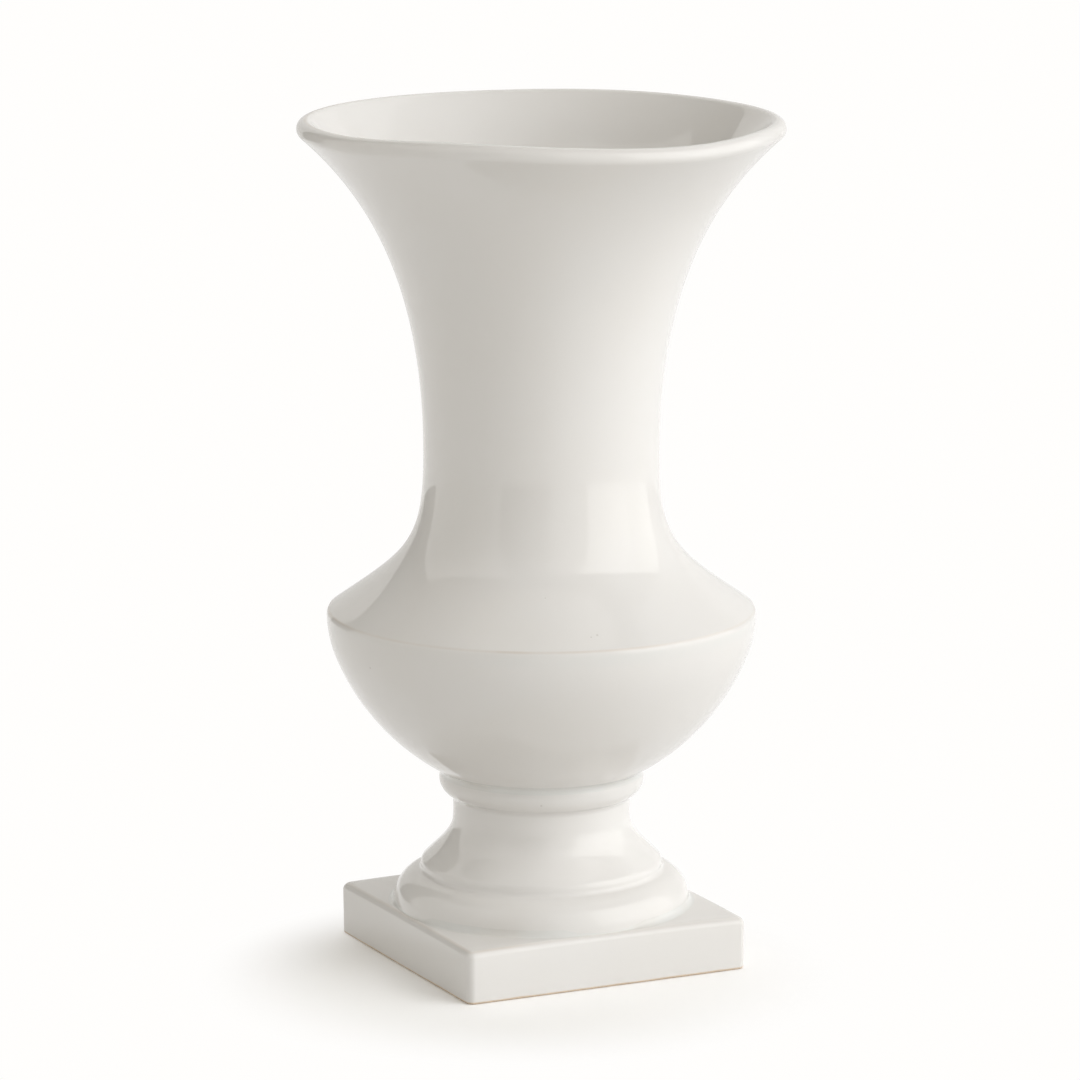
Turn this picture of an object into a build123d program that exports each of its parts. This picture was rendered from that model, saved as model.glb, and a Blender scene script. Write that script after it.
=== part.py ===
from build123d import *
import math
import os

os.makedirs("parts", exist_ok=True)

# Free-standing ceramic trumpet vase on a square plinth.
# Four hollow slip castings, luted end on end with clay slip, then glazed and fired.
# Millimetres, +Z up, origin in the middle of the underside of the plinth.

# Height of each casting, and of the slip between two castings
plinth_height = 27.5
pedestal_height = 68.3
bowl_height = 83.3
neck_height = 249.1
seam = 0.6
slip_bevel = 3.0  # slip pressed into the inside corner of each seam

# Neck: lip, flare, waist and the sweep out to the shoulder line
neck_wall = 6.5
mouth_radius = 122.5  # outermost point of the lip
lip_radius = 4.5  # half the thickness of the rounded lip
flare_angle = 41.4  # slope of the wall at the lip, from the horizontal
waist_radius = 59.8
waist_rise = 80.1  # waist above the foot of the neck
sweep_angle = 34.8  # slope of the wall where it meets the bowl
flare_pull = (0.45, 0.35)  # how long the flare stays straight at the waist and at the lip
sweep_pull = (0.59, 0.60)  # the same for the sweep, as shares of its rise

# Bowl: a tight upper arc and a wide lower one, from the shoulder down to the collar
bowl_wall = 6.5
bowl_floor = 8.0
shoulder_radius = 109.1
shoulder_drop = 2.6  # widest point below the rim of the bowl
crease_inset = 0.7  # shoulder line inside the widest point
belly_radius = 54.9
belly_turn = 22.0  # degrees of the upper arc
floor_fillet = 14.0

# Pedestal: collar bead, stem, scotia, cushion and torus
pedestal_wall = 7.0
stem_radius = 45.2
bead_radius = 9.2
bead_projection = 7.1  # bead beyond the stem
bead_drop = 4.0  # widest point of the bead below the top of the pedestal
scotia_rise = 28.6  # start of the scotia above the top of the torus
scotia_pull = (0.42, 0.49)
cushion_height = 6.1
torus_radius = 14.9
torus_rise = 1.4  # centre of the torus round above the foot of the pedestal
torus_setback = 1.35  # side of the torus inside the side of the plinth
foot_width = 9.0

# Plinth: square, hollow underneath, standing on its unglazed foot rim
plinth_width = 153.5
plinth_corner = 4.0
plinth_edge = 2.8
plinth_foot_edge = 1.0
plinth_wall = 9.0
plinth_roof = 8.0
roof_fillet = 5.0
vent_ledge = 15.0  # roof between the slip and the round hole through it

# Levels, from the table up
roof_z = plinth_height - plinth_roof
pedestal_foot_z = plinth_height + seam
pedestal_top_z = pedestal_foot_z + pedestal_height
bowl_foot_z = pedestal_top_z + seam
bowl_rim_z = bowl_foot_z + bowl_height
neck_foot_z = bowl_rim_z + seam
waist_z = neck_foot_z + waist_rise
lip_z = neck_foot_z + neck_height - lip_radius

# Seats, from the pieces that meet there
crease_radius = shoulder_radius - crease_inset
bead_centre = Vector(stem_radius + bead_projection - bead_radius, pedestal_top_z - bead_drop)
collar_seat_radius = bead_centre.X + math.sqrt(bead_radius**2 - bead_drop**2)
bowl_bore_radius = shoulder_radius - bowl_wall
stem_bore_radius = stem_radius - pedestal_wall
torus_side_radius = plinth_width / 2 - torus_setback
foot_bore_radius = torus_side_radius - foot_width
plinth_flat_radius = plinth_width / 2 - plinth_edge
vent_radius = foot_bore_radius - slip_bevel - vent_ledge


def polar(length, angle):
    """Vector of a length at an angle above the horizontal."""
    return Vector(length, 0).rotate(Axis.Z, angle)


def wall_curve(start, end, angle, pull, walls=(0, 0)):
    """Curve that leaves its start upright and reaches its end at a slope, set in by a wall at each.

    Each handle grows by the wall times the curvature there, which keeps the wall even between them.
    """
    upright = Vector(0, math.copysign(1, angle))
    slope = polar(1, angle)
    leave, reach = (share * abs(end.Y - start.Y) for share in pull)
    span = (end - slope * reach) - (start + upright * leave)
    leave += walls[0] * 2 / 3 * abs(upright.cross(span).Z) / leave
    reach += walls[1] * 2 / 3 * abs(slope.cross(span).Z) / reach
    start -= Vector(walls[0], 0)
    end += slope.rotate(Axis.Z, math.copysign(90, angle)) * walls[1]
    return Bezier(start, start + upright * leave, end - slope * reach, end)


def slip_outline(outer_radius, bore_radius, face_z, side):
    """Layer of slip on the upper or lower side of a wide face, thumbed into the inside corner."""
    Polyline(
        (bore_radius - slip_bevel, face_z),
        (outer_radius, face_z),
        (outer_radius, face_z + side * seam),
        (bore_radius, face_z + side * seam),
        (bore_radius, face_z + side * slip_bevel),
        close=True,
    )


# Trumpet neck: two matching curves, a half round over the lip, and a foot cut level
waist = Vector(waist_radius, waist_z)
lip_end = Vector(mouth_radius - lip_radius, lip_z) + polar(lip_radius, flare_angle - 90)
foot_end = Vector(crease_radius, neck_foot_z)

with BuildPart() as trumpet_neck:
    with BuildSketch(Plane.XZ):
        with BuildLine():
            wall_curve(waist, lip_end, flare_angle, flare_pull)
            flare = wall_curve(waist, lip_end, flare_angle, flare_pull, (neck_wall, 2 * lip_radius))
            TangentArc(lip_end, flare @ 1, tangent=polar(1, flare_angle))
            wall_curve(waist, foot_end, -sweep_angle, sweep_pull)
            sweep = wall_curve(waist, foot_end, -sweep_angle, sweep_pull, (neck_wall, neck_wall))
            Line(foot_end, sweep @ 1)
        make_face()
    revolve(axis=Axis.Z)
    split(bisect_by=Plane.XY.offset(neck_foot_z))

trumpet_neck.part.label = "trumpet_neck"
export_step(trumpet_neck.part, "parts/trumpet_neck.step")

# Slip between the foot of the neck and the rim of the bowl
with BuildPart() as shoulder_slip:
    with BuildSketch(Plane.XZ):
        with BuildLine():
            slip_outline(crease_radius, bowl_bore_radius, neck_foot_z, -1)
        make_face()
    revolve(axis=Axis.Z)

shoulder_slip.part.label = "shoulder_slip"
export_step(shoulder_slip.part, "parts/shoulder_slip.step")

# Bowl: two arcs in one line outside, the same centres inside, and a flat floor
widest_z = bowl_rim_z - shoulder_drop
belly_centre = Vector(shoulder_radius - belly_radius, widest_z)
floor_z = bowl_foot_z + bowl_floor

with BuildPart() as bowl:
    with BuildSketch(Plane.XZ):
        with BuildLine():
            rim = TangentArc((shoulder_radius, widest_z), (crease_radius, bowl_rim_z), tangent=(0, 1))
            belly = CenterArc(belly_centre, belly_radius, 0, -belly_turn)
            lower = TangentArc(belly @ 1, (collar_seat_radius, bowl_foot_z), tangent=belly % 1)
            CenterArc(belly_centre, belly_radius - bowl_wall, 0, -belly_turn)
            inner_radius = lower.radius - bowl_wall
            floor_turn = math.degrees(math.asin((lower.arc_center.Y - floor_z) / inner_radius))
            inner = CenterArc(lower.arc_center, inner_radius, -belly_turn, belly_turn - floor_turn)
            Polyline(inner @ 1, (0, floor_z), (0, bowl_foot_z), lower @ 1)
            Polyline(rim @ 1, (bowl_bore_radius, bowl_rim_z), (bowl_bore_radius, widest_z))
        make_face()
        fillet(vertices().sort_by_distance(inner @ 1)[0], floor_fillet)
    revolve(axis=Axis.Z)

bowl.part.label = "bowl"
export_step(bowl.part, "parts/bowl.step")

# Slip between the underside of the bowl and the top of the pedestal
with BuildPart() as collar_slip:
    with BuildSketch(Plane.XZ):
        with BuildLine():
            slip_outline(collar_seat_radius, stem_bore_radius, bowl_foot_z, -1)
        make_face()
    revolve(axis=Axis.Z)

collar_slip.part.label = "collar_slip"
export_step(collar_slip.part, "parts/collar_slip.step")

# Pedestal: bead, upright stem, scotia, cushion and torus outside, two easy arcs inside
torus_centre = Vector(torus_side_radius - torus_radius, pedestal_foot_z + torus_rise)
crease = torus_centre + Vector(0, torus_radius)
cushion_top = crease + Vector(0, cushion_height)
scotia_top = Vector(stem_radius, crease.Y + scotia_rise)
bore_top = scotia_top - Vector(pedestal_wall, 0)
bore_turn = crease - Vector(pedestal_wall + 1, -1.5)
bead_top = math.degrees(math.asin(bead_drop / bead_radius))
bead_foot = math.degrees(math.acos((stem_radius - bead_centre.X) / bead_radius))
torus_foot = math.degrees(math.asin(torus_rise / torus_radius))

with BuildPart() as pedestal:
    with BuildSketch(Plane.XZ):
        with BuildLine():
            bead = CenterArc(bead_centre, bead_radius, bead_top, -bead_top - bead_foot)
            Line(bead @ 1, scotia_top)
            wall_curve(scotia_top, cushion_top, -45, scotia_pull)
            TangentArc(cushion_top, crease, tangent=(1, -1))
            torus = CenterArc(torus_centre, torus_radius, 90, -90 - torus_foot)
            Polyline(
                torus @ 1,
                (foot_bore_radius, pedestal_foot_z),
                (foot_bore_radius, pedestal_foot_z + slip_bevel),
            )
            bore = TangentArc(bore_top, bore_turn, tangent=(0, -1))
            TangentArc(bore_turn, (foot_bore_radius, pedestal_foot_z + slip_bevel), tangent=bore % 1)
            Polyline(bore_top, (stem_bore_radius, pedestal_top_z), bead @ 0)
        make_face()
    revolve(axis=Axis.Z)

pedestal.part.label = "pedestal"
export_step(pedestal.part, "parts/pedestal.step")

# Slip between the foot ring of the pedestal and the flat of the plinth
with BuildPart() as plinth_slip:
    with BuildSketch(Plane.XZ):
        with BuildLine():
            slip_outline(plinth_flat_radius, foot_bore_radius, plinth_height, 1)
        make_face()
    revolve(axis=Axis.Z)

plinth_slip.part.label = "plinth_slip"
export_step(plinth_slip.part, "parts/plinth_slip.step")

# Plinth: softened block, hollowed from below, with a round hole up into the pedestal
hollow_width = plinth_width - 2 * plinth_wall

with BuildPart() as plinth:
    with BuildSketch():
        RectangleRounded(plinth_width, plinth_width, plinth_corner)
    extrude(amount=plinth_height)
    fillet(faces().sort_by(Axis.Z)[-1].edges(), plinth_edge)
    fillet(faces().sort_by(Axis.Z)[0].edges(), plinth_foot_edge)
    with BuildSketch():
        RectangleRounded(hollow_width, hollow_width, plinth_corner)
    extrude(amount=roof_z, mode=Mode.SUBTRACT)
    fillet(faces().filter_by_position(Axis.Z, roof_z, roof_z)[0].edges(), roof_fillet)
    with BuildSketch(Plane.XY.offset(roof_z)):
        Circle(vent_radius)
    extrude(amount=plinth_roof, mode=Mode.SUBTRACT)

plinth.part.label = "plinth"
export_step(plinth.part, "parts/plinth.step")
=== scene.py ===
import math

import bmesh
import bpy
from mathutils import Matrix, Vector
from mathutils.geometry import interpolate_bezier


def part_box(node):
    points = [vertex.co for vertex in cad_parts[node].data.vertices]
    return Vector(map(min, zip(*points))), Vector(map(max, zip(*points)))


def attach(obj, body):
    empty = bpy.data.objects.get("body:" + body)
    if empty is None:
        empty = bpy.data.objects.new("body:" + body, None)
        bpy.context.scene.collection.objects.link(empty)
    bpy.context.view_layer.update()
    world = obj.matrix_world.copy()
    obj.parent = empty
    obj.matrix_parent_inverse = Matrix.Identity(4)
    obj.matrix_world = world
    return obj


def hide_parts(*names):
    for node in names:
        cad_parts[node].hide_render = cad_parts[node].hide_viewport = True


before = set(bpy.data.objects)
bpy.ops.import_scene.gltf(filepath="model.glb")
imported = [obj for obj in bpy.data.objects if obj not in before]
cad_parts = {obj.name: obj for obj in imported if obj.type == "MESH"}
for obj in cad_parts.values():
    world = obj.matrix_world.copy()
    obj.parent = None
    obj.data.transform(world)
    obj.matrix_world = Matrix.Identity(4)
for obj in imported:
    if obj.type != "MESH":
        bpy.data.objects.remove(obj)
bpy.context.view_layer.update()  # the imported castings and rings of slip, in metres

# Trumpet vase on a square plinth, white glazed earthenware.
# Outlines are drawn in the XZ plane, radius along X and height along Z, and spun round the Z axis.


# Camera: the height, distance and lens that the photograph was taken with
shot = {
    "distance": 2.871,  # level, from the axis of the vase
    "height": 0.796,
    "turn": 25.96,  # degrees round from square on to the plinth
    "tilt": 11.44,
    "lens": 192.59,
    "sensor": 36,
    "frameSize": 1080,
    "axisPixel": 541.4,  # where the axis of the vase stands in the frame
}


def addCamera():
    turn = math.radians(shot["turn"])
    place = (-shot["distance"] * math.sin(turn), -shot["distance"] * math.cos(turn), shot["height"])
    bpy.ops.object.camera_add(location=place, rotation=(math.radians(90 - shot["tilt"]), 0, -turn))
    camera = bpy.context.object
    camera.name = "photoCamera"
    camera.data.lens = shot["lens"]
    camera.data.sensor_width = shot["sensor"]
    camera.data.shift_x = 0.5 - shot["axisPixel"] / shot["frameSize"]
    camera.data.clip_end = 50
    bpy.context.scene.camera = camera
    print("camera placed")


# Outline helpers: points in the XZ plane, angles in degrees above the horizontal.
# Only aroundVase leaves that plane, and counts its degrees round from the camera.
lathe = {
    "turns": 240,  # steps round the axis
    "grain": 0.0028,  # longest step along an outline
    "turnStep": 9,  # most degrees to a step of an arc, however short
    "weld": 1e-6,
    "near": 1e-5,  # closer than this counts as level or in line
}


def at(radius, height):
    return Vector((radius, 0, height))


def polar(length, angle):
    return at(length * math.cos(math.radians(angle)), length * math.sin(math.radians(angle)))


def aroundVase(degrees, radius, height):
    angle = math.radians(degrees - 90 - shot["turn"])
    return radius * math.cos(angle), radius * math.sin(angle), height


def bearing(centre, point):
    return math.degrees(math.atan2(point.z - centre.z, point.x - centre.x))


def roundArc(centre, radius, start, turn):
    length = math.radians(abs(turn)) * radius
    steps = math.ceil(max(abs(turn) / lathe["turnStep"], length / lathe["grain"]))
    return [centre + polar(radius, start + turn * i / steps) for i in range(steps + 1)]


def arcTo(centre, start, end):
    first = bearing(centre, start)
    turn = (bearing(centre, end) - first + 180) % 360 - 180  # the short way round
    return roundArc(centre, (start - centre).length, first, turn)


def leavingCentre(start, angle, end):
    side = polar(1, angle + 90)  # the centre lies square to the heading at the start
    chord = end - start
    return start + side * chord.length_squared / (2 * side.dot(chord))


def touching(centreA, reachA, centreB, reachB):
    gap = centreB - centreA  # outer point at both distances from the two centres
    along = (gap.length_squared + reachA**2 - reachB**2) / (2 * gap.length)
    across = at(gap.z, -gap.x).normalized() * math.sqrt(reachA**2 - along**2)
    foot = centreA + gap.normalized() * along
    return max(foot + across, foot - across, key=lambda point: point.x)


def wallCurve(start, end, angle, pull):
    upright = at(0, math.copysign(1, angle))
    rise = abs(end.z - start.z)
    steps = math.ceil((end - start).length / lathe["grain"])
    handle = start + upright * pull[0] * rise
    return interpolate_bezier(start, handle, end - polar(1, angle) * pull[1] * rise, end, steps)


def insetLine(line, wallAt):
    inner = []
    for i, point in enumerate(line):
        heading = (line[min(i + 1, len(line) - 1)] - line[max(i - 1, 0)]).normalized()
        inner.append(point + at(-heading.z, heading.x) * wallAt(i / (len(line) - 1)))
    return inner


def cutLevel(line, height):
    while line[-2].z < height:  # drops what is below the level and ends the line on it
        line.pop()
    above, below = line[-2:]
    line[-1] = above.lerp(below, (above.z - height) / (above.z - below.z))
    return line


# Mesh helpers
def pick(piece, test, kind="VERT"):
    bpy.ops.mesh.select_mode(type=kind)
    bpy.ops.mesh.select_all(action="DESELECT")
    mesh = bmesh.from_edit_mesh(piece.data)
    for item in {"VERT": mesh.verts, "EDGE": mesh.edges, "FACE": mesh.faces}[kind]:
        item.select_set(bool(test(item)))
    mesh.select_flush_mode()
    bmesh.update_edit_mesh(piece.data)


def startPiece(name):
    piece = bpy.context.object
    piece.name = piece.data.name = name
    bpy.ops.object.transform_apply(location=True, rotation=True, scale=True)
    bpy.ops.object.mode_set(mode="EDIT")
    bpy.ops.mesh.select_mode(type="VERT")
    return piece


def drawOutline(name, outline):
    bpy.ops.object.select_all(action="DESELECT")
    bpy.ops.mesh.primitive_plane_add(size=lathe["grain"], location=outline[0])
    piece = startPiece(name)
    bpy.ops.mesh.merge(type="CENTER")
    for here, there in zip(outline, outline[1:]):
        bpy.ops.mesh.extrude_region_move(TRANSFORM_OT_translate={"value": there - here})
    return piece


def closeAndSmooth(piece, crease=30):
    bpy.ops.mesh.select_all(action="SELECT")
    bpy.ops.mesh.remove_doubles(threshold=lathe["weld"])
    bpy.ops.mesh.select_all(action="SELECT")
    bpy.ops.mesh.normals_make_consistent(inside=False)
    bpy.ops.object.mode_set(mode="OBJECT")
    bpy.ops.object.shade_smooth_by_angle(angle=math.radians(crease))


def turnPiece(name, outline):
    if outline[0].x > 0:  # a ring closes on itself, a solid of revolution ends on the axis
        outline = outline + outline[:1]
    piece = drawOutline(name, outline)
    bpy.ops.mesh.select_all(action="SELECT")
    bpy.ops.mesh.spin(steps=lathe["turns"], angle=math.tau, center=(0, 0, 0), axis=(0, 0, 1))
    return piece


def carry(piece, slot, *nodes):
    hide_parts(*nodes)
    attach(piece, "root")
    print(piece.name, "made,", len(piece.data.polygons), "faces")


# Faces that stay bare: how close they lie to the inner walls, and how far they look inwards or down
bareFaces = {"slack": 0.0002, "inwards": -0.05, "down": -0.99}


def coat(piece, glazed):
    # Glaze all over, and bare clay on every face that only shows from under the foot
    piece.data.materials.clear()
    piece.data.materials.append(glazed)
    piece.data.materials.append(bareClay)
    bpy.ops.object.select_all(action="DESELECT")
    bpy.context.view_layer.objects.active = piece
    piece.select_set(True)
    bpy.ops.object.mode_set(mode="EDIT")

    def underneath(face):
        middle = face.calc_center_median()
        outwards = Vector((middle.x, middle.y, 0)).normalized()
        if piece.name == "plinthGlazed":
            side = max(abs(middle.x), abs(middle.y))
            inner = side < plinthHigh.x - plinth["wall"] + bareFaces["slack"]
            return inner and middle.z < plinthHigh.z - bareFaces["slack"]
        if piece.name in ("pedestalGlazed", "collarSlip", "plinthSlip"):
            return face.normal.dot(outwards) < bareFaces["inwards"]
        lowest = middle.z < bowlLow.z + bareFaces["slack"]
        return piece.name == "bowlGlazed" and lowest and face.normal.z < bareFaces["down"]

    pick(piece, underneath, "FACE")
    piece.active_material_index = 1
    bpy.ops.object.material_slot_assign()
    bpy.ops.mesh.select_all(action="SELECT")
    bpy.ops.object.mode_set(mode="OBJECT")


# Sizes shared by neighbours, read from the frame
neckLow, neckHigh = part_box("trumpet_neck")
bowlLow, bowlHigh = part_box("bowl")
pedestalLow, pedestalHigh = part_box("pedestal")
plinthLow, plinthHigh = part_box("plinth")
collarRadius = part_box("collar_slip")[1].x


# Shoulder line: the slanting foot of the neck meets the side of the bowl in a crisp, barely rounded corner
shoulder = {
    "sweepAngle": 34.8,
    "drop": 0.0026,  # widest point below the rim of the bowl
    "inset": 0.0007,
    "softened": 0.0008,  # how far the glaze rounds the corner off to each side
    "pull": 0.6,
    "steps": 9,
    "bore": 0.0065,
    "slipBevel": 0.003,
}


def shoulderEdge():
    # from the widest point of the bowl up round the corner to where the sweep of the neck begins
    widest = at(bowlHigh.x, bowlHigh.z - shoulder["drop"])
    corner = at(bowlHigh.x - shoulder["inset"], (bowlHigh.z + neckLow.z) / 2)
    reach = (corner - widest).length_squared / (2 * shoulder["inset"])
    side = arcTo(widest - at(reach, 0), widest, corner)[:-1]
    while (side[-1] - corner).length < shoulder["softened"]:
        side.pop()
    below = side[-1]
    above = corner + polar(shoulder["softened"], 180 - shoulder["sweepAngle"])
    handles = [end.lerp(corner, shoulder["pull"]) for end in (below, above)]
    return side[:-1] + interpolate_bezier(below, *handles, above, shoulder["steps"])


def between(line, low, high):
    cut = []
    for here, there in zip(line, line[1:]):
        for level in (low, high):
            if here.z < level < there.z:
                cut.append(here.lerp(there, (level - here.z) / (there.z - here.z)))
    return sorted([p for p in line if low < p.z < high] + cut, key=lambda p: p.z)


# Neck: sweep, waist and flare in two matching curves, a half round over the lip, an even wall
neck = {
    "wall": 0.0065,
    "lipRadius": 0.0045,
    "flareAngle": 41.4,
    "waistRadius": 0.0598,
    "waistRise": 0.0801,
    "flarePull": (0.45, 0.35),
    "sweepPull": (0.59, 0.60),
    "gather": 1.2,  # above 1 the wall thickens late, close to the lip
    "crownReach": 0.004,
    # each wave of the lip: degrees round from the camera, rise, width
    "lipWaves": ((-19, 0.0021, 0.075), (38, -0.0014, 0.06), (160, 0.0006, 0.08)),
}


def makeNeck():
    corner = between(shoulderEdge(), neckLow.z, neckHigh.z)
    waist = at(neck["waistRadius"], neckLow.z + neck["waistRise"])
    flareEnd = at(neckHigh.x - neck["lipRadius"], neckHigh.z - neck["lipRadius"])
    flareEnd += polar(neck["lipRadius"], neck["flareAngle"] - 90)
    foot = corner[-1]
    sweep = wallCurve(waist, foot, -shoulder["sweepAngle"], neck["sweepPull"])
    flare = wallCurve(waist, flareEnd, neck["flareAngle"], neck["flarePull"])
    outside = corner + sweep[-2::-1] + flare[1:]
    waistShare = outside.index(waist) / (len(outside) - 1)
    thickening = 2 * neck["lipRadius"] - neck["wall"]

    def wallAt(share):
        risen = max(0, (share - waistShare) / (1 - waistShare))
        return neck["wall"] + thickening * risen ** neck["gather"]

    inside = cutLevel(insetLine(outside, wallAt)[::-1], neckLow.z)
    lipCentre = flareEnd + polar(neck["lipRadius"], neck["flareAngle"] + 90)
    lip = roundArc(lipCentre, neck["lipRadius"], neck["flareAngle"] - 90, 180)
    piece = turnPiece("neckGlazed", outside[:-1] + lip + inside[1:])
    for degrees, rise, width in neck["lipWaves"]:
        crown = Vector(aroundVase(degrees, neckHigh.x - neck["lipRadius"], neckHigh.z))
        pick(piece, lambda vert: (vert.co - crown).length < neck["crownReach"])
        bpy.ops.transform.translate(
            value=(0, 0, rise), use_proportional_edit=True, use_proportional_connected=True,
            proportional_edit_falloff="SMOOTH", proportional_size=width,
        )
    closeAndSmooth(piece)
    carry(piece, "white_glaze", "trumpet_neck")
    return piece


# Ring of slip at the shoulder line, where the glaze runs thin
def makeShoulderSlip():
    bore = bowlHigh.x - shoulder["bore"]
    bevel = shoulder["slipBevel"]
    low, high = bowlHigh.z, neckLow.z
    outside = between(shoulderEdge(), low, high)
    inside = [at(bore - bevel, high), at(bore, high - bevel), at(bore, low)]
    piece = turnPiece("shoulderSlip", outside + inside)
    closeAndSmooth(piece)
    carry(piece, "fired_slip", "shoulder_slip")
    return piece


# Bowl: a tight upper arc and a wide lower one outside, the same centres inside, a flat floor
bowl = {
    "wall": 0.0065,
    "floor": 0.008,
    "bellyRadius": 0.0549,
    "bellyTurn": 22,
    "floorFillet": 0.014,
    "rings": 8,  # on each side of the floor, from the axis out
}


def bowlArcs():
    widest = at(bowlHigh.x, bowlHigh.z - shoulder["drop"])
    bellyCentre = widest - at(bowl["bellyRadius"], 0)
    bellyEnd = bellyCentre + polar(bowl["bellyRadius"], -bowl["bellyTurn"])
    seat = at(collarRadius, bowlLow.z)
    lowerCentre = leavingCentre(bellyEnd, -90 - bowl["bellyTurn"], seat)
    return widest, bellyCentre, bellyEnd, lowerCentre


def makeBowl():
    widest, bellyCentre, bellyEnd, lowerCentre = bowlArcs()
    lowerEnd = collarFillet()[1]
    outside = [*reversed(between(shoulderEdge(), widest.z, bowlHigh.z)), widest]
    outside += arcTo(bellyCentre, widest, bellyEnd)[1:] + arcTo(lowerCentre, bellyEnd, lowerEnd)[1:]
    seat = [at(lowerEnd.x - collar["lap"], bowlLow.z)]
    seat += [at(seat[0].x * i / bowl["rings"], bowlLow.z) for i in reversed(range(bowl["rings"]))]

    floor = bowlLow.z + bowl["floor"]
    innerReach = (bellyEnd - lowerCentre).length - bowl["wall"]
    filletCentre = at(0, floor + bowl["floorFillet"])
    drop = filletCentre.z - lowerCentre.z
    filletCentre.x = lowerCentre.x + math.sqrt((innerReach - bowl["floorFillet"]) ** 2 - drop**2)
    filletTop = lowerCentre + (filletCentre - lowerCentre).normalized() * innerReach
    filletFoot = at(filletCentre.x, floor)
    inside = [at(filletFoot.x * i / bowl["rings"], floor) for i in range(bowl["rings"])]
    inside += arcTo(filletCentre, filletFoot, filletTop)
    turn = polar(bowl["wall"], -bowl["bellyTurn"])
    inside += arcTo(lowerCentre, filletTop, bellyEnd - turn)[1:]
    inside += arcTo(bellyCentre, bellyEnd - turn, widest - at(bowl["wall"], 0))[1:]
    inside += [at(widest.x - bowl["wall"], bowlHigh.z)]
    piece = turnPiece("bowlGlazed", inside + outside + seat)
    closeAndSmooth(piece)
    carry(piece, "white_glaze", "bowl")
    return piece


# Collar: glaze pools in a small fillet between the bowl and the bead under it
collar = {
    "beadRadius": 0.0092,
    "beadDrop": 0.004,
    "fillet": 0.0034,
    "lap": 0.0042,  # how far the ring of slip reaches in under the glaze
    "bore": 0.0382,
    "slipBevel": 0.003,
}


def beadCentre():
    lean = math.sqrt(collar["beadRadius"] ** 2 - collar["beadDrop"] ** 2)
    return at(collarRadius - lean, pedestalHigh.z - collar["beadDrop"])


def collarFillet():
    widest, bellyCentre, bellyEnd, lowerCentre = bowlArcs()
    lowerReach = (bellyEnd - lowerCentre).length
    bead = beadCentre()
    centre = touching(
        lowerCentre, lowerReach + collar["fillet"], bead, collar["beadRadius"] + collar["fillet"]
    )
    onBowl = lowerCentre + (centre - lowerCentre).normalized() * lowerReach
    onBead = bead + (centre - bead).normalized() * collar["beadRadius"]
    return centre, onBowl, onBead


def makeCollarSlip():
    centre, onBowl, onBead = collarFillet()
    low, high = pedestalHigh.z, bowlLow.z
    bore, bevel = collar["bore"], collar["slipBevel"]
    inside = [at(onBead.x - collar["lap"], low), at(bore, low), at(bore, high - bevel)]
    inside += [at(bore - bevel, high), at(onBowl.x - collar["lap"], high)]
    piece = turnPiece("collarSlip", arcTo(centre, onBowl, onBead) + inside)
    closeAndSmooth(piece)
    carry(piece, "fired_slip", "collar_slip")
    return piece


# Pedestal: bead, upright stem, scotia, cushion and torus, with glaze filling the creases
pedestal = {
    "wall": 0.007,
    "stemRadius": 0.0452,
    "scotiaRise": 0.0286,
    "scotiaPull": (0.42, 0.49),
    "scotiaSlope": -45,
    "cushionHeight": 0.0061,
    "torusRadius": 0.0149,
    "torusRise": 0.0014,
    "footWidth": 0.009,
    "boreSet": (0.001, 0.0015),  # the two arcs of the bore meet this far in from and above the crease
    "beadFillet": 0.0040,
    "creaseFillet": 0.0026,
    "slipBevel": 0.003,
}


def makePedestal():
    size = pedestal
    torusCentre = at(pedestalHigh.x - size["torusRadius"], pedestalLow.z + size["torusRise"])
    crease = torusCentre + at(0, size["torusRadius"])
    cushionTop = crease + at(0, size["cushionHeight"])
    scotiaTop = at(size["stemRadius"], crease.z + size["scotiaRise"])

    bead = beadCentre()
    grooveReach = collar["beadRadius"] + size["beadFillet"]
    groove = at(size["stemRadius"] + size["beadFillet"], 0)
    groove.z = bead.z - math.sqrt(grooveReach**2 - (groove.x - bead.x) ** 2)
    underBead = bead + (groove - bead).normalized() * collar["beadRadius"]
    outside = arcTo(bead, collarFillet()[2], underBead)
    outside += arcTo(groove, underBead, groove - at(size["beadFillet"], 0))[1:]
    outside += wallCurve(scotiaTop, cushionTop, size["scotiaSlope"], size["scotiaPull"])

    cushionCentre = leavingCentre(cushionTop, size["scotiaSlope"], crease)
    cushionReach = (crease - cushionCentre).length
    fillet = size["creaseFillet"]
    pool = touching(cushionCentre, cushionReach + fillet, torusCentre, size["torusRadius"] + fillet)
    underCushion = cushionCentre + (pool - cushionCentre).normalized() * cushionReach
    onTorus = torusCentre + (pool - torusCentre).normalized() * size["torusRadius"]
    foot = torusCentre + at(
        math.sqrt(size["torusRadius"] ** 2 - size["torusRise"] ** 2), -size["torusRise"]
    )
    outside += arcTo(cushionCentre, cushionTop, underCushion)[1:]
    outside += arcTo(pool, underCushion, onTorus)[1:] + arcTo(torusCentre, onTorus, foot)[1:]

    footBore = pedestalHigh.x - size["footWidth"]
    boreFoot = at(footBore, pedestalLow.z + size["slipBevel"])
    boreTop = scotiaTop - at(size["wall"], 0)
    boreTurn = crease - at(size["wall"] + size["boreSet"][0], -size["boreSet"][1])
    upper = leavingCentre(boreTop, -90, boreTurn)
    lower = leavingCentre(boreTurn, bearing(upper, boreTurn) + 90, boreFoot)
    inside = [at(footBore, pedestalLow.z)] + arcTo(lower, boreFoot, boreTurn)
    inside += arcTo(upper, boreTurn, boreTop)[1:]
    inside += [at(x, pedestalHigh.z) for x in (boreTop.x, collarFillet()[2].x - collar["lap"])]
    piece = turnPiece("pedestalGlazed", outside + inside)
    closeAndSmooth(piece)
    carry(piece, "white_glaze", "pedestal")
    return piece


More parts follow.
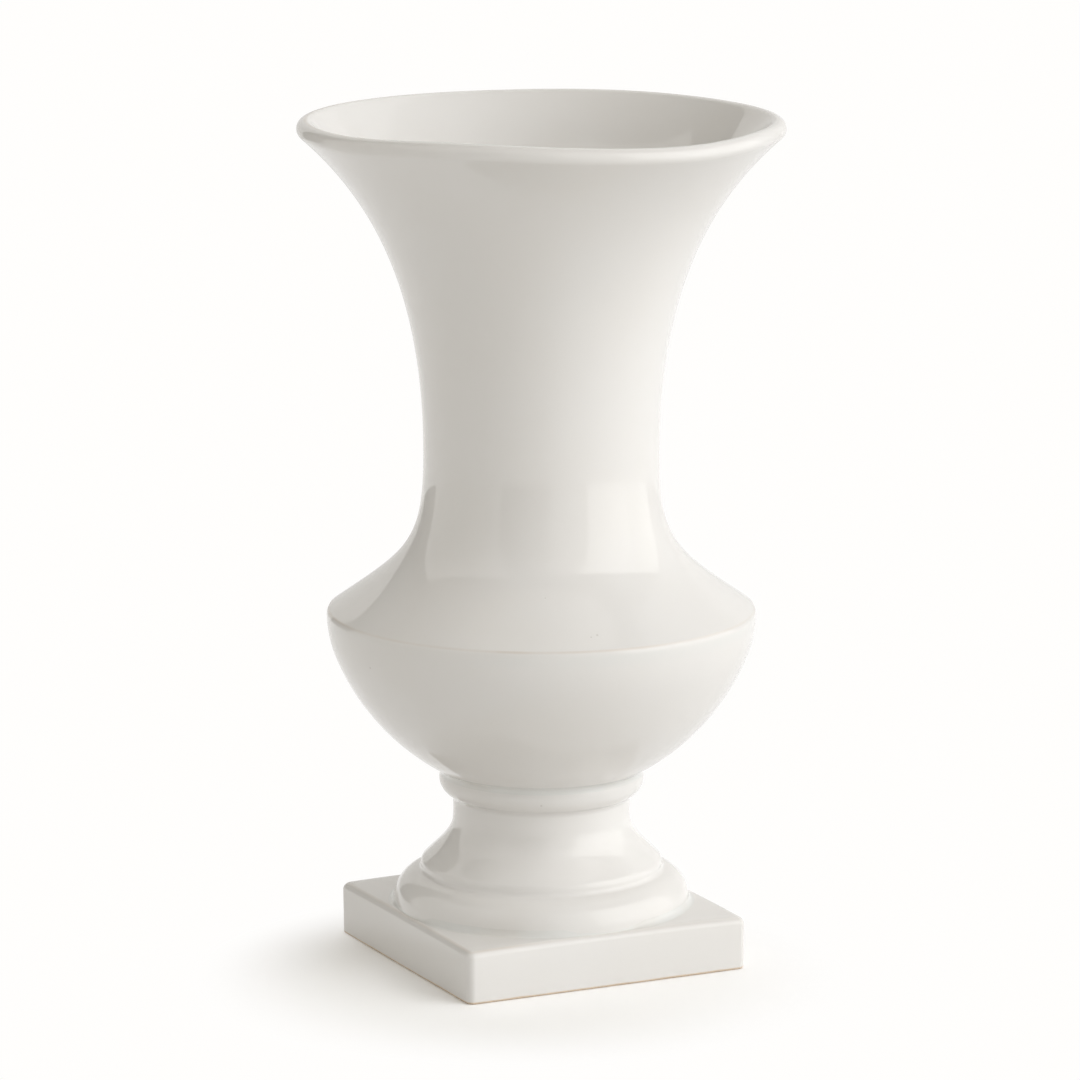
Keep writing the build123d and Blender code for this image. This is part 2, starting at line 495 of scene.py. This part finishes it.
# Plinth: a block with soft corners, hollowed from below, a round hole up into the pedestal
plinth = {
    "corner": 0.0040,
    "edge": 0.0033,
    "sideSwell": 0.00099,  # how far the sides swell out, and how much further halfway up
    "sideBow": 0.000715,
    "footEdge": 0.001,
    "wall": 0.009,
    "roof": 0.008,
    "roofFillet": 0.005,
    "ventRadius": 0.0484,
    "ventSides": 128,
    "cuts": 15,
    "cornerSteps": 8,
    "edgeSteps": 7,
    "crease": 35,
    "cornerSag": 0.0006,  # the top falls away a little towards its corners
    "sagFrom": 1.02,  # as shares of half the width: where that starts, and how far on it is full
    "sagOver": 0.36,
}


def roundedBlock(name, width, low, high, corner, topEdge, footEdge, cuts):
    bpy.ops.object.select_all(action="DESELECT")
    bpy.ops.mesh.primitive_cube_add(
        size=1, location=(0, 0, (low + high) / 2), scale=(width, width, high - low)
    )
    piece = startPiece(name)
    side = width / 2 - lathe["near"]

    pick(piece, lambda e: abs(e.verts[0].co.z - e.verts[1].co.z) < lathe["near"], "EDGE")
    bpy.ops.mesh.subdivide(number_cuts=cuts)
    pick(piece, lambda e: all(min(abs(v.co.x), abs(v.co.y)) > side for v in e.verts), "EDGE")
    bpy.ops.mesh.bevel(offset=corner, segments=plinth["cornerSteps"], affect="EDGES")
    for level, edge in ((high, topEdge), (low, footEdge)):
        if edge:
            pick(
                piece,
                lambda e: all(abs(v.co.z - level) < lathe["near"] for v in e.verts)
                and any(abs(f.normal.z) < 0.5 for f in e.link_faces),
                "EDGE",
            )
            bpy.ops.mesh.bevel(offset=edge, segments=plinth["edgeSteps"], affect="EDGES")
    bpy.ops.mesh.select_all(action="SELECT")
    bpy.ops.mesh.normals_make_consistent(inside=False)
    return piece


def subtract(piece, cutter):
    bpy.ops.object.select_all(action="DESELECT")
    bpy.context.view_layer.objects.active = piece
    piece.select_set(True)
    modifier = piece.modifiers.new("hollow", "BOOLEAN")
    modifier.operation, modifier.object, modifier.solver = "DIFFERENCE", cutter, "MANIFOLD"
    bpy.ops.object.modifier_apply(modifier=modifier.name)
    bpy.data.objects.remove(cutter)


def cornerDrop(x, y):
    out = math.hypot(x, y) / plinthHigh.x - plinth["sagFrom"]
    return plinth["cornerSag"] * max(0, out / plinth["sagOver"]) ** 2


def makePlinth():
    size = plinth
    width = plinthHigh.x - plinthLow.x
    roof = plinthHigh.z - size["roof"]
    edges = (size["corner"], size["edge"], size["footEdge"])
    piece = roundedBlock("plinthGlazed", width, 0, plinthHigh.z, *edges, size["cuts"])
    bpy.ops.object.mode_set(mode="OBJECT")
    edges = (size["corner"], size["roofFillet"], 0)
    hollow = roundedBlock("hollow", width - 2 * size["wall"], -roof, roof, *edges, 1)
    bpy.ops.object.mode_set(mode="OBJECT")
    subtract(piece, hollow)
    bpy.ops.object.select_all(action="DESELECT")
    bpy.ops.mesh.primitive_cylinder_add(
        vertices=size["ventSides"], radius=size["ventRadius"], depth=4 * size["roof"],
        location=(0, 0, plinthHigh.z),
    )
    vent = startPiece("vent")
    bpy.ops.object.mode_set(mode="OBJECT")
    subtract(piece, vent)
    bpy.ops.object.mode_set(mode="EDIT")
    for vert in bmesh.from_edit_mesh(piece.data).verts:
        half = plinthHigh.x - size["wall"] / 2
        if max(abs(vert.co.x), abs(vert.co.y)) > half:
            rise = max(0, min(1, vert.co.z / plinthHigh.z))
            bow = size["sideSwell"] + size["sideBow"] * 4 * rise * (1 - rise)
            swell = 1 + bow / plinthHigh.x
            vert.co.x, vert.co.y = vert.co.x * swell, vert.co.y * swell
        vert.co.z -= cornerDrop(vert.co.x, vert.co.y) * max(0, vert.co.z) / plinthHigh.z
    bmesh.update_edit_mesh(piece.data)
    closeAndSmooth(piece, size["crease"])
    carry(piece, "plinth_glaze", "plinth")
    return piece


# Glaze gathered round the foot of the pedestal, narrow where the torus comes close to an edge
footPool = {"width": 0.0032, "narrowest": 0.3, "sink": 0.0012}


def plinthTop(x, y):
    top = plinthHigh.z - cornerDrop(x, y)
    past = max(abs(x), abs(y)) - (plinthHigh.x - plinth["edge"])
    if past <= 0:
        return top
    past = min(past, plinth["edge"])
    return top - plinth["edge"] + math.sqrt(plinth["edge"] ** 2 - past**2)


def makePlinthSlip():
    low, high = plinthHigh.z, pedestalLow.z
    torus = at(pedestalHigh.x, 0)
    width = footPool["width"]
    bore = pedestalHigh.x - pedestal["footWidth"]
    bevel = pedestal["slipBevel"]
    under = low - footPool["sink"]
    outside = roundArc(at(torus.x + width, low + width), width, 180, 90)
    inside = [at(torus.x + width, under), at(bore - bevel, under), at(bore - bevel, low)]
    inside += [at(bore, low + bevel), at(bore, high), at(torus.x - bevel, high)]
    inside += [at(torus.x - bevel / 4, low + width)]
    piece = turnPiece("plinthSlip", outside + inside)

    def narrow(vert):
        around = Vector((vert.co.x, vert.co.y))
        past = around.length - torus.x
        if past < 0:
            return
        room = (plinthHigh.x - plinth["edge"] / 2) / (max(abs(around.x), abs(around.y)) / around.length)
        share = min(1, max(footPool["narrowest"], (room - torus.x) / width))
        around *= (torus.x + past * share) / around.length
        height = low + (vert.co.z - low) * (share if vert.co.z > low else 1)
        vert.co = (around.x, around.y, height - (low - plinthTop(around.x, around.y)))

    mesh = bmesh.from_edit_mesh(piece.data)
    for vert in mesh.verts:
        narrow(vert)
    bmesh.update_edit_mesh(piece.data)
    closeAndSmooth(piece)
    carry(piece, "fired_slip", "plinth_slip")
    return piece


# Shader benches: sockets wrapped so that sums read as sums
class Wire:
    def __init__(self, bench, socket):
        self.bench = bench
        self.socket = socket

    def __add__(self, other):
        return self.bench.sum("ADD", self, other)

    def __radd__(self, other):
        return self.bench.sum("ADD", other, self)

    def __sub__(self, other):
        return self.bench.sum("SUBTRACT", self, other)

    def __rsub__(self, other):
        return self.bench.sum("SUBTRACT", other, self)

    def __mul__(self, other):
        return self.bench.sum("MULTIPLY", self, other)

    def __rmul__(self, other):
        return self.bench.sum("MULTIPLY", other, self)

    def __truediv__(self, other):
        return self.bench.sum("DIVIDE", self, other)

    def __abs__(self):
        return self.bench.sum("ABSOLUTE", self)


class Bench:
    def __init__(self, tree):
        self.tree = tree
        self.tree.nodes.clear()

    def node(self, kind, settings=None, inputs=None, output=0):
        made = self.tree.nodes.new("ShaderNode" + kind)
        for name, value in (settings or {}).items():
            setattr(made, name, value)
        for name, value in (inputs or {}).items():
            if isinstance(value, Wire):
                self.tree.links.new(value.socket, made.inputs[name])
            else:
                made.inputs[name].default_value = value
        return Wire(self, made.outputs[output])

    def sum(self, operation, *values):
        return self.node("Math", {"operation": operation}, dict(enumerate(values)))

    def parts(self, kind, inputs, names):
        made = self.node(kind, None, inputs).socket.node
        return [Wire(self, made.outputs[name]) for name in names]

    def finish(self, kind, shader):
        self.tree.links.new(shader.socket, self.tree.nodes.new("ShaderNode" + kind).inputs["Surface"])

    def within(self, value, low, high):
        # 0 at low rising to 1 at high, eased, and clamped outside
        settings = {"interpolation_type": "SMOOTHSTEP", "clamp": True}
        return self.node("MapRange", settings, {0: value, 1: low, 2: high, 3: 0.0, 4: 1.0})

    def mix(self, factor, first, second):
        settings = {"data_type": "RGBA", "clamp_factor": False}
        return self.node("Mix", settings, {0: factor, 6: first, 7: second}, 2)

    def noise(self, place, scale, detail=2.0, rough=0.5):
        inputs = {"Vector": place, "Scale": scale, "Detail": detail, "Roughness": rough}
        return self.node("TexNoise", None, inputs)

    def bump(self, height, over=None):
        inputs = {"Strength": 1.0, "Distance": 1.0, "Height": height}
        return self.node("Bump", None, {**inputs, "Normal": over} if over else inputs)

    def finishGlaze(self, colour, roughness, normal):
        inputs = {"Base Color": colour, "Roughness": roughness, "IOR": glaze["ior"], "Normal": normal}
        self.finish("OutputMaterial", self.node("BsdfPrincipled", None, inputs))


def newMaterial(name):
    material = bpy.data.materials.new(name)
    material.use_nodes = True
    return material, Bench(material.node_tree)


# Noises in the glaze and the clay: scale, detail and roughness
noises = {
    "cloud": (14.0, 3.0),
    "patchy": (24.0, 4.0, 0.6),
    "stretch": (30.0, 3.0, 0.6),
    "slow": (18.0, 1.0),
    "skin": (420.0, 2.0),
    "wander": (60.0, 2.0),
    "grain": (900.0, 3.0, 0.7),
    "wiped": (45.0, 4.0, 0.65),
    "sponge": (320.0, 1.0),
}

# Glaze: a warm white tin glaze, thin and warm over edges, a little cooler where it pools. Its warm edge
# lines are painted heaviest on the shaded side, and its pool colour darkens the crease rings: both partly
# painted shade
glaze = {
    "colour": (0.80, 0.780, 0.752, 1),
    "warm": (0.785, 0.757, 0.718, 1),
    "thin": (0.66, 0.58, 0.49, 1),  # clay showing through where the glaze is thin, and painted shade where its lines lean to the shaded side
    # pooled glaze colour, which on the crease rings of slip is also painted shade
    "pooledAndShade": (0.765, 0.762, 0.735, 1),
    "speck": (0.36, 0.31, 0.26, 1),
    "clayDark": (0.60, 0.46, 0.33, 1),
    "clayPale": (0.76, 0.65, 0.52, 1),
    "roughness": 0.032,
    "ior": 1.6,
    "shadedSide": -58,  # degrees round from the camera of the shaded side, where the warm thin lines are painted heaviest as shade
    "footLine": 0.0015,  # bare clay above the table
    "footWander": 0.0008,
    "warmShare": 0.4,
    "poolShare": 0.6,
    "pitShare": 0.24,
    "leastPatchy": 0.35,
    "pool": (0.011, 0.003, 0.001),  # below the rim of the bowl: where it starts, is full and ends
    "scatter": (60.0, 0.972, 0.012, 0.034),  # pinholes: scale, share without one, inner and outer size
    "swell": 0.00016,  # slow unevenness of the surface, and the depths of its finer marks
    "skinDepth": 0.0000016,
    "pitDepth": 0.00012,
    "clayDepth": 0.00015,
    "cloudRough": 0.02,
    "clayRough": 0.7,
}
slipCoat = {"thinShare": 0.22, "stretched": (0.42, 0.7), "skinDepth": 0.000004, "stretchRough": 0.08}
clay = {
    "grainShare": 0.6,
    "sponged": (0.68, 0.72, 0.5),  # from, to, strength
    "grainDepth": 0.00012,
    "wipedDepth": 0.0004,
    "roughness": (0.72, 0.16),  # least, and what the wiping adds
}

# Pits in the glaze: degrees round from the camera, radius, height, size
pits = [
    (-0.2, 0.0516, 0.0891, 0.0008),
    (15.9, 0.0999, 0.1868, 0.0009),
    (14.0, 0.1008, 0.1862, 0.0007),
    (1.3, 0.0798, 0.2019, 0.0005),
    (-52.8, 0.1070, 0.1631, 0.0007),
    (168.0, 0.1000, 0.4045, 0.0009),
]
plinthPits = [(-0.0298, -0.07675, 0.0200, 0.0006), (-0.0270, -0.07675, 0.0192, 0.0006)]


def glazeMaterial(name, thinAndShadeLines, pitPlaces):
    material, bench = newMaterial(name)
    place = bench.node("TexCoord", None, None, "Object")
    across, along, height = bench.parts("SeparateXYZ", {0: place}, "XYZ")
    square = name == "plinthGlaze"
    if square:  # distance out is measured square to the sides of the plinth
        out = bench.sum("MAXIMUM", abs(across), abs(along))
    else:
        out = bench.sum("SQRT", across * across + along * along)

    cloud = bench.noise(place, *noises["cloud"])
    warmth = bench.within(cloud, 0.35, 0.65) * glaze["warmShare"]
    colour = bench.mix(warmth, glaze["colour"], glaze["warm"])

    # Warm lines where the glaze pulls thin, most on the shaded side as painted shade, and cooler pools under
    # them
    patchy = bench.within(bench.noise(place, *noises["patchy"]), 0.3, 0.72)
    least = glaze["leastPatchy"]
    sideX, sideY = aroundVase(glaze["shadedSide"], 1, 0)[:2]
    # painted shade: the thin lines grow strongest towards the side turned away from the light
    towardShade = bench.within((across * sideX + along * sideY) / (out + 0.001), -0.6, 0.9)
    for radius, level, width, strength, everywhere in thinAndShadeLines:
        gapOut, gapUp = out - radius, height - level
        away = bench.sum("SQRT", gapOut * gapOut + gapUp * gapUp)
        amount = (everywhere + towardShade * (1 - everywhere)) * (least + patchy * (1 - least)) * strength
        colour = bench.mix((1 - bench.within(away, 0.0, width)) * amount, colour, glaze["thin"])
    if not square:
        low, full, high = (bowlHigh.z - drop for drop in glaze["pool"])
        under = bench.within(height, low, full) * (1 - bench.within(height, full, high))
        colour = bench.mix(under * patchy * glaze["poolShare"], colour, glaze["pooledAndShade"])

    # Pits and pinholes, a few placed and a few scattered
    pit = None
    for x, y, z, size in pitPlaces:
        away = bench.node("VectorMath", {"operation": "DISTANCE"}, {0: place, 1: (x, y, z)}, "Value")
        one = 1 - bench.within(away, size * 0.35, size)
        pit = one if pit is None else bench.sum("MAXIMUM", pit, one)
    scale, without, inner, outer = glaze["scatter"]
    gap, tone = bench.parts("TexVoronoi", {"Vector": place, "Scale": scale}, ("Distance", "Color"))
    chosen = bench.sum("GREATER_THAN", bench.node("SeparateColor", None, {0: tone}, "Red"), without)
    pit = bench.sum("MAXIMUM", pit, (1 - bench.within(gap, inner, outer)) * chosen)
    colour = bench.mix(pit * glaze["pitShare"], colour, glaze["speck"])

    # Bare clay under the wandering lower edge of the glaze
    grain = bench.noise(place, *noises["grain"])
    wander = (bench.noise(place, *noises["wander"]) - 0.5) * glaze["footWander"]
    bare = 1 - bench.within(height + wander, glaze["footLine"] * 0.6, glaze["footLine"])
    colour = bench.mix(bare, colour, bench.mix(grain, glaze["clayDark"], glaze["clayPale"]))

    swell = bench.bump(bench.noise(place, *noises["slow"]) * glaze["swell"])
    relief = bench.noise(place, *noises["skin"]) * glaze["skinDepth"] - pit * glaze["pitDepth"]
    relief = relief + bare * grain * glaze["clayDepth"]
    roughness = glaze["roughness"] + (cloud - 0.5) * glaze["cloudRough"] + bare * glaze["clayRough"]
    bench.finishGlaze(colour, roughness, bench.bump(relief, swell))
    return material


def slipMaterial(name):
    # Glaze over the slip in the creases: pooled, and darker there as painted shade, with the odd warm
    # stretch
    material, bench = newMaterial(name)
    place = bench.node("TexCoord", None, None, "Object")
    stretch = bench.within(bench.noise(place, *noises["stretch"]), *slipCoat["stretched"])
    colour = bench.mix(stretch * slipCoat["thinShare"], glaze["pooledAndShade"], glaze["thin"])
    normal = bench.bump(bench.noise(place, *noises["skin"]) * slipCoat["skinDepth"])
    bench.finishGlaze(colour, glaze["roughness"] + stretch * slipCoat["stretchRough"], normal)
    return material


def clayMaterial(name):
    # Bare fired clay inside the hollow foot, with the sponge marks of its making
    material, bench = newMaterial(name)
    place = bench.node("TexCoord", None, None, "Object")
    grain = bench.noise(place, *noises["grain"])
    wiped = bench.noise(place, *noises["wiped"])
    pale = grain * clay["grainShare"] + wiped * (1 - clay["grainShare"])
    colour = bench.mix(pale, glaze["clayDark"], glaze["clayPale"])
    low, high, strength = clay["sponged"]
    sponged = bench.within(bench.noise(place, *noises["sponge"]), low, high) * strength
    colour = bench.mix(sponged, colour, glaze["speck"])
    normal = bench.bump(grain * clay["grainDepth"] + wiped * clay["wipedDepth"])
    least, added = clay["roughness"]
    inputs = {"Base Color": colour, "Roughness": least + wiped * added, "Normal": normal}
    bench.finish("OutputMaterial", bench.node("BsdfPrincipled", None, inputs))
    return material


# Rays that are shown something else than the light of the studio
rayKinds = ["Is %s Ray" % kind for kind in ("Camera", "Glossy", "Transmission")]

# Studio: tall white flats left and right, a pale sweep behind and a dim ceiling.
# Each flat: degrees round from the camera (right is positive) where it starts and ends,
# degrees above the horizon of its top at both ends, the light it throws and how bright it shows in the glaze
studio = {
    "ceiling": ((0.37, 0.35, 0.305), 0.34),
    "flats": {
        "leftGap": (-150, -123, 60, 60, (0.42, 0.395, 0.345), 0.27),
        "leftOuter": (-123, -80, 41, 53.8, (0.92, 0.91, 0.88), 0.96),
        "leftInner": (-80, -39, 53.8, 66, (0.55, 0.535, 0.505), 0.94),
        "frontGap": (-39, 8, 66, 62, (0.44, 0.43, 0.40), 0.48),
        "frontRight": (8, 44.6, 62, 60, (0.90, 0.89, 0.87), 0.86),
        "right": (44.6, 91, 58, 48, (3.14, 3.18, 3.22), 1.85),
        "rightBack": (91.6, 123.5, 48, 35, (1.46, 1.48, 1.51), 1.45),
        "rightGap": (123.5, 150, 60, 60, (0.5, 0.48, 0.45), 0.72),
        "sweepRight": (150, 180, 60, 60, (0.98, 0.972, 0.958), 0.87),
        "sweepLeft": (-180, -150, 60, 60, (0.88, 0.872, 0.858), 0.78),
    },
    "backdrop": (1, 0.991, 0.978),
    "shineTint": (1, 0.985, 0.96, 1),
    "softSide": 0.3,  # degrees over which the edges of a flat fade, to each side
    "softTop": 0.5,
}


def addWorld():
    world = bpy.data.worlds.new("studio")
    bpy.context.scene.world = world
    world.use_nodes = True
    bench = Bench(world.node_tree)
    way = bench.node("TexCoord", None, None, "Generated")
    turn = {"Vector": way, "Angle": math.radians(shot["turn"])}
    turned = bench.node("VectorRotate", {"rotation_type": "Z_AXIS"}, turn)
    east, north, up = bench.parts("SeparateXYZ", {0: turned}, "XYZ")
    degree = 180 / math.pi
    around = bench.sum("ARCTAN2", east, 0 - north) * degree
    above = bench.sum("ARCSINE", up) * degree
    light, shine = studio["ceiling"]
    colour, mirrored = (*light, 1), shine
    side, top = studio["softSide"], studio["softTop"]
    for start, end, topStart, topEnd, light, shine in studio["flats"].values():
        slope = (topEnd - topStart) / (end - start)
        over = above - (around - start) * slope - topStart
        mask = 1 - bench.within(over, -top, top)
        if start > -180:  # the two halves of the sweep meet at the back without an edge
            mask = mask * bench.within(around, start - side, start + side)
        if end < 180:
            mask = mask * (1 - bench.within(around, end - side, end + side))
        colour = bench.mix(mask, colour, (*light, 1))
        mirrored = mask * shine + (1 - mask) * mirrored
    camera, glossy, through = bench.parts("LightPath", None, rayKinds)
    colour = bench.mix(glossy, colour, bench.mix(mirrored, (0, 0, 0, 1), studio["shineTint"]))
    colour = bench.mix(bench.sum("MAXIMUM", camera, through), colour, (*studio["backdrop"], 1))
    shader = bench.node("Background", None, {"Color": colour, "Strength": 1.0})
    bench.finish("OutputWorld", shader)
    print("studio lit")


# Floor: plain pale paper. The camera, and reflections, see it as bright as the backdrop, shadow and all.
floor = {
    "size": 24,
    "paper": (0.80, 0.795, 0.785, 1),
    "seen": (1.115, 1.108, 1.1, 1),
    "shadowAt": (-0.0287, -0.0361, 0),  # middle of the shadow, towards the front and the left
    "plainFrom": 0.088,  # metres out from there to where it has faded and only the backdrop shows
    "plainAt": 0.165,
    "tableEdge": 1.7,  # glaze reflects the paper this far out, and the flats beyond it
}


def addFloor():
    bpy.ops.object.select_all(action="DESELECT")
    bpy.ops.mesh.primitive_plane_add(size=floor["size"], location=(0, 0, 0))
    piece = bpy.context.object
    piece.name = "paleFloor"
    material, bench = newMaterial("paperSweep")
    camera, glossy, through = bench.parts("LightPath", None, rayKinds)
    seen = bench.sum("MAXIMUM", camera, bench.sum("MAXIMUM", glossy, through))
    place = bench.node("TexCoord", None, None, "Object")
    away = bench.node("VectorMath", {"operation": "DISTANCE"}, {0: place, 1: floor["shadowAt"]}, "Value")
    plain = bench.within(away, floor["plainFrom"], floor["plainAt"])
    offTable = bench.sum("GREATER_THAN", away, floor["tableEdge"])
    paper = bench.node("BsdfDiffuse", None, {"Color": bench.mix(seen, floor["paper"], floor["seen"])})
    glow = bench.node("Emission", None, {"Color": (*studio["backdrop"], 1), "Strength": 1.0})
    shader = bench.node("MixShader", None, {0: seen * plain, 1: paper, 2: glow})
    beyond = bench.node("BsdfTransparent")
    shader = bench.node("MixShader", None, {0: glossy * offTable, 1: shader, 2: beyond})
    bench.finish("OutputMaterial", shader)
    piece.data.materials.append(material)
    print("floor laid")


addCamera()
addFloor()
addWorld()
bpy.context.scene.view_settings.view_transform = "Standard"

# Lines where the glaze runs thin, painted heaviest on the shaded side: radius, height, width, strength, and
# how much of it shows all round
lipCrown = (neckHigh.x - neck["lipRadius"], neckHigh.z, 0.0017, 0.85, 0.15)
shoulderLine = (bowlHigh.x - 0.0006, neckLow.z - 0.0002, 0.0013, 0.75, 0.6)
plinthRim = (plinthHigh.x - 0.0008, plinthHigh.z - 0.0008, 0.0016, 0.5, 0.3)
vasePits = [(*aroundVase(*place), size) for *place, size in pits]
vaseGlaze = glazeMaterial("vaseGlaze", [lipCrown, shoulderLine], vasePits)
plinthGlaze = glazeMaterial("plinthGlaze", [plinthRim], plinthPits)
seamGlaze = slipMaterial("seamGlaze")
bareClay = clayMaterial("bareClay")
print("glazes mixed")

for make in (makeNeck, makeShoulderSlip, makeBowl, makePedestal):
    coat(make(), vaseGlaze)
for make in (makeCollarSlip, makePlinthSlip):
    coat(make(), seamGlaze)
coat(makePlinth(), plinthGlaze)
